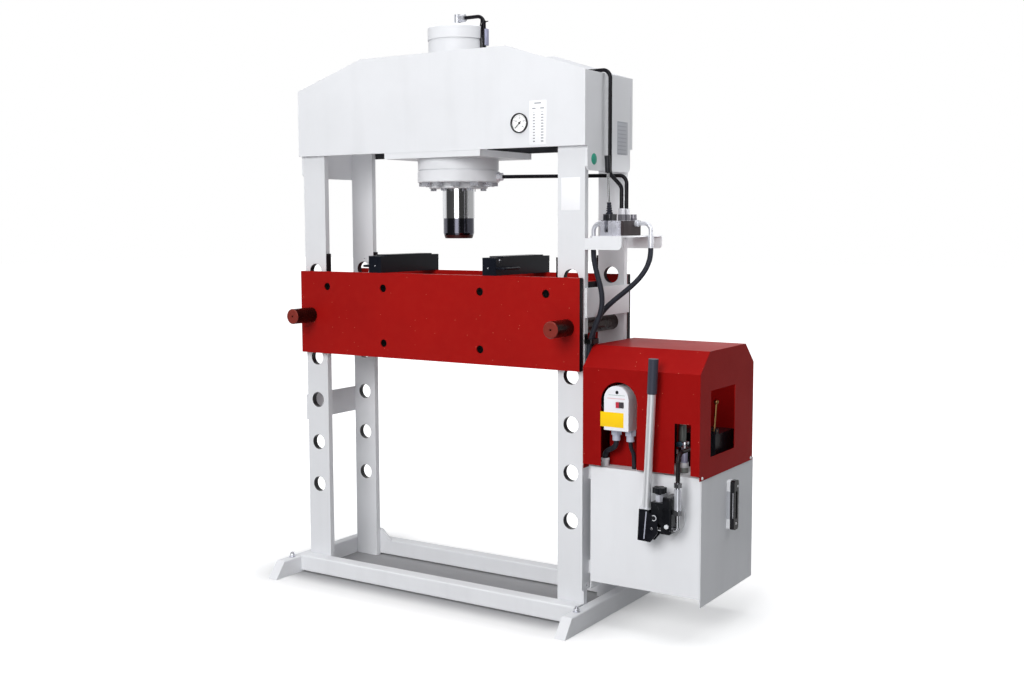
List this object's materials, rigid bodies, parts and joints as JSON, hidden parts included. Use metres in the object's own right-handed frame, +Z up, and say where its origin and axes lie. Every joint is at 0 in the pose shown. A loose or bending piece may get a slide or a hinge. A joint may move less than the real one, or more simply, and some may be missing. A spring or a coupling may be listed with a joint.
{
  "type": "hydraulic workshop press",
  "caption": "Hydraulic workshop press: plate frame with pinned table and support blocks, central ram, lever valve, and a side tank with motor and hand pump.",
  "frame": {"origin": "on the floor under the ram's axis, in the middle between the uprights", "axes": "X to the right along the head, seen from the front; Y to the back; Z up"},
  "size_m": [1.5737, 0.632, 1.907],
  "materials": {
    "grey_paint": "light grey gloss paint",
    "red_paint": "deep red gloss paint",
    "black_paint": "black satin paint",
    "dark_steel": "blackened steel",
    "chromed_steel": "polished",
    "zinc_steel": "zinc plated",
    "gauge_black": "black",
    "gauge_pointer": "black",
    "gauge_glass": "clear",
    "valve_iron": "dark oxidised",
    "cast_aluminium": "as cast",
    "black_plastic": "matte",
    "black_rubber": "matte",
    "white_plastic": "gloss",
    "red_plastic": "gloss"
  },
  "bodies": {
    "frame": {"base_beams": "grey_paint", "cables": "black_rubber", "check_valve": "black_paint", "cylinder_barrel": "grey_paint", "cylinder_bolts": "dark_steel", "cylinder_cap": "grey_paint", "cylinder_gland": "black_paint", "cylinder_ring": "grey_paint", "foot_left": "grey_paint", "foot_right": "grey_paint", "gauge_case": "gauge_black", "gauge_glass": "gauge_glass", "hand_pump_body": "black_paint", "head_end_plate_left": "grey_paint", "head_end_plate_right": "grey_paint", "head_front_plate": "grey_paint", "head_rear_plate": "grey_paint", "hose_clamp": "zinc_steel", "level_gauge": "black_plastic", "lower_pipe": "black_paint", "manifold": "black_paint", "motor": "black_paint", "port_fittings": "zinc_steel", "power_unit_cover": "red_paint", "pressure_hose": "black_rubber", "ram_seat_plate": "grey_paint", "return_hose": "black_rubber", "switch_box": "white_plastic", "table_front_plate": "red_paint", "table_rear_plate": "red_paint", "table_screws": "dark_steel", "table_spacers": "red_paint", "tank": "grey_paint", "tank_bracket": "grey_paint", "tie_plates": "grey_paint", "upper_pipe": "black_paint", "upright_front_left": "grey_paint", "upright_front_right": "grey_paint", "upright_rear_left": "grey_paint", "upright_rear_right": "grey_paint", "valve_body": "valve_iron", "valve_bracket": "grey_paint", "valve_fittings": "zinc_steel", "valve_lever_housing": "cast_aluminium"},
    "ram": {"piston": "dark_steel", "ram_rod": "chromed_steel", "ram_nose": "black_paint"},
    "left_pin": {"table_pin_left": "dark_steel"},
    "right_pin": {"table_pin_right": "dark_steel"},
    "pointer": {"gauge_needle": "gauge_pointer"},
    "lever": {"valve_lever": "black_plastic", "lever_boot": "black_rubber"},
    "spool": {"valve_spool": "valve_iron"},
    "pump_lever": {"hand_pump_lever": "zinc_steel"},
    "plunger": {"hand_pump_plunger": "chromed_steel"},
    "knob": {"release_knob": "black_plastic"},
    "rocker": {"rocker_switch": "red_plastic"},
    "selector": {"selector_lever": "zinc_steel"},
    "left_block": {"support_block_left": "black_paint"},
    "right_block": {"support_block_right": "black_paint"}
  },
  "joints": [
    {"name": "ram_slide", "type": "slide", "parent": "frame", "child": "ram", "axis": [0, 0, -1], "range_m": [-0.085, 0.215]},
    {"name": "left_pin_slide", "type": "slide", "parent": "frame", "child": "left_pin", "axis": [0, -1, 0], "range_m": [0, 0.36]},
    {"name": "right_pin_slide", "type": "slide", "parent": "frame", "child": "right_pin", "axis": [0, -1, 0], "range_m": [0, 0.36]},
    {"name": "left_block_slide", "type": "slide", "parent": "frame", "child": "left_block", "axis": [1, 0, 0], "range_m": [-0.15, 0.148]},
    {"name": "right_block_slide", "type": "slide", "parent": "frame", "child": "right_block", "axis": [-1, 0, 0], "range_m": [-0.15, 0.148]},
    {"name": "pointer_turn", "type": "hinge", "parent": "frame", "child": "pointer", "pos_m": [0.337, -0.153, 1.531], "axis": [0, 1, 0], "range_deg": [0, 270], "stiffness_Nm_per_rad": 0.0005},
    {"name": "lever_tilt", "type": "hinge", "parent": "frame", "child": "lever", "pos_m": [0.618, -0.092, 1.216], "axis": [1, 0, 0], "range_deg": [-15, 15], "stiffness_Nm_per_rad": 3},
    {"name": "spool_slide", "type": "slide", "parent": "frame", "child": "spool", "axis": [0, 1, 0], "range_m": [-0.0045, 0.0045]},
    {"name": "pump_lever_swing", "type": "hinge", "parent": "frame", "child": "pump_lever", "pos_m": [0.839, -0.212, 0.383], "axis": [0, 1, 0], "range_deg": [-30, 1]},
    {"name": "plunger_slide", "type": "slide", "parent": "frame", "child": "plunger", "axis": [1, 0, 0], "range_m": [-0.004, 0.02]},
    {"name": "knob_turn", "type": "hinge", "parent": "frame", "child": "knob", "pos_m": [0.846, -0.209, 0.449], "axis": [0, 0, 1], "range_deg": [0, 360]},
    {"name": "rocker_tip", "type": "hinge", "parent": "frame", "child": "rocker", "pos_m": [0.704, -0.183, 0.694], "axis": [0, 0, 1], "range_deg": [-14, 0]},
    {"name": "selector_swing", "type": "hinge", "parent": "frame", "child": "selector", "pos_m": [0.92, 0.006, 0.61], "axis": [1, 0, 0], "range_deg": [-20, 20]}
  ],
  "couplings": [
    {"joint": "spool_slide", "follows": "lever_tilt", "m_per_rad": 0.014},
    {"joint": "plunger_slide", "follows": "pump_lever_swing", "m_per_rad": -0.0336}
  ]
}
